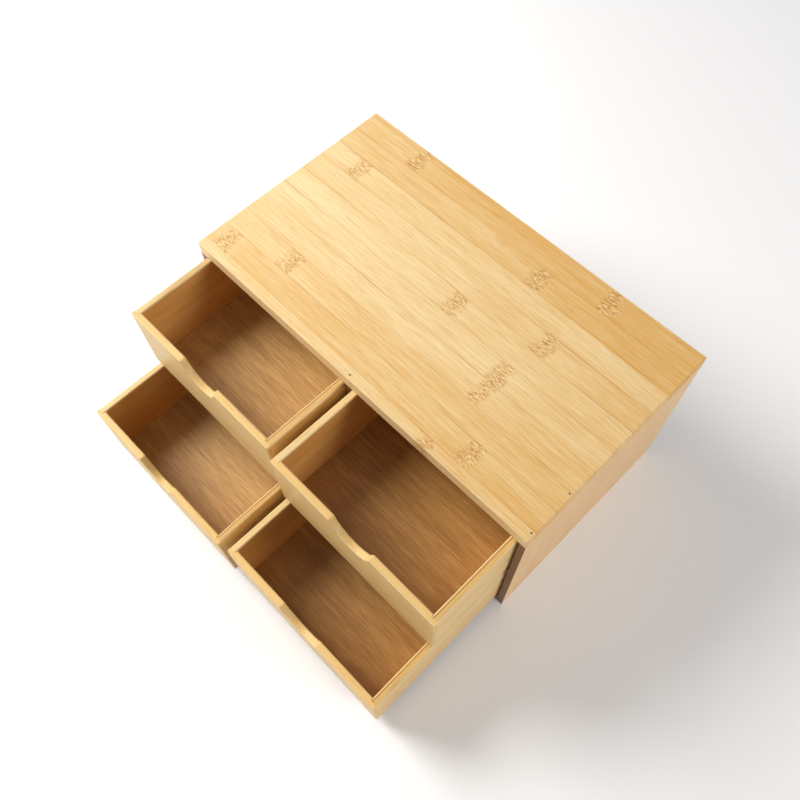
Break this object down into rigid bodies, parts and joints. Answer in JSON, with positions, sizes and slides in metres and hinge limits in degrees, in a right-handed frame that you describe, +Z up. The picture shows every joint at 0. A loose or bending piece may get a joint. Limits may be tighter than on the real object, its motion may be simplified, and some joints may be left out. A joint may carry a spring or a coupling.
{
  "type": "tea bag drawer box",
  "caption": "Tabletop bamboo chest with rows of open-topped sliding drawers for tea bags, each with a half-round finger notch in its front.",
  "frame": {"origin": "middle of the case's footprint, on the surface it stands on", "axes": "+X to the right seen from the front, +Y to the back of the case, +Z up; the drawers pull out along -Y"},
  "size_m": [0.305, 0.297, 0.153],
  "materials": {
    "bamboo_top": "satin clear lacquer over laminated bamboo strips",
    "bamboo_case": "satin clear lacquer over laminated bamboo strips",
    "bamboo_drawer_front": "satin clear lacquer over bamboo",
    "bamboo_drawer_wall": "satin clear lacquer over bamboo",
    "bamboo_drawer_floor": "thin bamboo board, matt lacquer",
    "brad_steel": "dulled pin nail heads"
  },
  "bodies": {
    "case": {"top_panel": "bamboo_top", "bottom_panel": "bamboo_case", "left_side_panel": "bamboo_case", "right_side_panel": "bamboo_case", "back_panel": "bamboo_case", "middle_shelf": "bamboo_case", "centre_divider": "bamboo_case", "top_brads": "brad_steel"},
    "upper_left_drawer": {"upper_left_drawer_front": "bamboo_drawer_front", "upper_left_drawer_back": "bamboo_drawer_front", "upper_left_drawer_left_wall": "bamboo_drawer_wall", "upper_left_drawer_right_wall": "bamboo_drawer_wall", "upper_left_drawer_floor": "bamboo_drawer_floor"},
    "upper_right_drawer": {"upper_right_drawer_front": "bamboo_drawer_front", "upper_right_drawer_back": "bamboo_drawer_front", "upper_right_drawer_left_wall": "bamboo_drawer_wall", "upper_right_drawer_right_wall": "bamboo_drawer_wall", "upper_right_drawer_floor": "bamboo_drawer_floor"},
    "lower_left_drawer": {"lower_left_drawer_front": "bamboo_drawer_front", "lower_left_drawer_back": "bamboo_drawer_front", "lower_left_drawer_left_wall": "bamboo_drawer_wall", "lower_left_drawer_right_wall": "bamboo_drawer_wall", "lower_left_drawer_floor": "bamboo_drawer_floor"},
    "lower_right_drawer": {"lower_right_drawer_front": "bamboo_drawer_front", "lower_right_drawer_back": "bamboo_drawer_front", "lower_right_drawer_left_wall": "bamboo_drawer_wall", "lower_right_drawer_right_wall": "bamboo_drawer_wall", "lower_right_drawer_floor": "bamboo_drawer_floor"}
  },
  "joints": [
    {"name": "upper_left_slide", "type": "slide", "parent": "case", "child": "upper_left_drawer", "axis": [0, -1, 0], "range_m": [-0.066, 0.084]},
    {"name": "upper_right_slide", "type": "slide", "parent": "case", "child": "upper_right_drawer", "axis": [0, -1, 0], "range_m": [-0.07, 0.08]},
    {"name": "lower_left_slide", "type": "slide", "parent": "case", "child": "lower_left_drawer", "axis": [0, -1, 0], "range_m": [-0.124, 0.026]},
    {"name": "lower_right_slide", "type": "slide", "parent": "case", "child": "lower_right_drawer", "axis": [0, -1, 0], "range_m": [-0.122, 0.028]}
  ]
}
